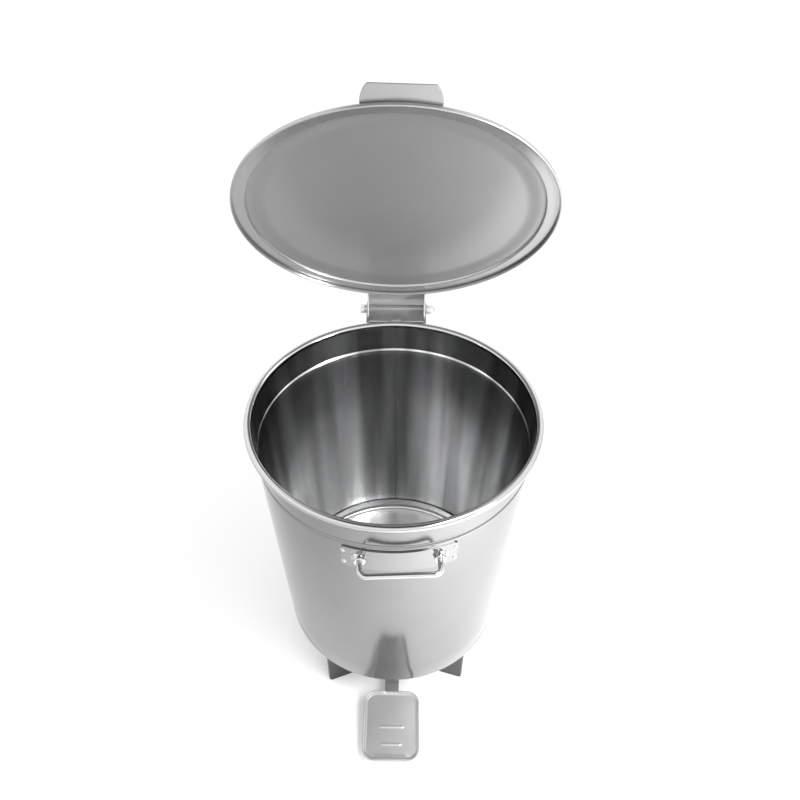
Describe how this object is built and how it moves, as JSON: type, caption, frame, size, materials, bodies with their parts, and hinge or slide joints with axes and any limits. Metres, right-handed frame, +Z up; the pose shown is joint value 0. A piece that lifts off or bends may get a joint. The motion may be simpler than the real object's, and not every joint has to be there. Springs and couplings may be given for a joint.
{
  "type": "pedal waste bin",
  "caption": "Round tapered stainless steel pedal bin on folded feet, with a rear-hinged domed lid, a front carrying handle, and a foot pedal that lifts the lid through a rear push rod.",
  "frame": {"origin": "on the floor, under the bin's vertical axis", "axes": "+Z up, -Y towards the pedal and handle, +Y towards the hinge, +X to the right as seen from the pedal"},
  "size_m": [0.419, 0.5339, 0.9072],
  "materials": {
    "polished_steel": "polished",
    "brushed_steel": "vertical brushed",
    "satin_steel": "satin",
    "zinc_steel": "zinc-plated",
    "black_nylon": "moulded"
  },
  "bodies": {
    "bin": {"body_shell": "brushed_steel", "rim_wire": "satin_steel", "bottom_plate": "polished_steel", "foot_front_left": "satin_steel", "foot_front_right": "satin_steel", "foot_rear_left": "satin_steel", "foot_rear_right": "satin_steel", "handle_plate": "polished_steel", "handle_collars": "polished_steel", "handle_bar": "polished_steel", "handle_rivets": "polished_steel", "hinge_bracket": "brushed_steel", "hinge_bolt": "zinc_steel", "hinge_washers": "zinc_steel", "hinge_lock_washer": "zinc_steel", "hinge_dome_nut": "polished_steel", "pedal_bracket": "satin_steel", "pedal_axle": "zinc_steel", "axle_washers": "zinc_steel", "axle_clips": "satin_steel"},
    "lid": {"lid_shell": "brushed_steel", "lid_tab": "brushed_steel", "lid_bracket": "brushed_steel", "hinge_sleeve": "zinc_steel", "crank_pin": "zinc_steel"},
    "rod": {"push_rod": "zinc_steel"},
    "pedal": {"pedal_lever": "satin_steel", "pedal_bushes": "black_nylon", "pedal_pad": "polished_steel", "pad_rivets": "polished_steel", "rod_pin": "zinc_steel", "rod_pin_clips": "satin_steel"}
  },
  "joints": [
    {"name": "lid_hinge", "type": "hinge", "parent": "bin", "child": "lid", "pos_m": [0, 0.244, 0.48], "axis": [1, 0, 0], "range_deg": [0, 62]},
    {"name": "pedal_pivot", "type": "hinge", "parent": "bin", "child": "pedal", "pos_m": [0, 0.085, 0.046], "axis": [1, 0, 0], "range_deg": [-7.59, 0]},
    {"name": "rod_link", "type": "hinge", "parent": "lid", "child": "rod", "pos_m": [0, 0.21877, 0.47371], "axis": [1, 0, 0], "range_deg": [-64.55, 0]}
  ],
  "couplings": [
    {"joint": "pedal_pivot", "follows": "lid_hinge", "ratio": -0.12235},
    {"joint": "rod_link", "follows": "lid_hinge", "ratio": -1.041}
  ]
}
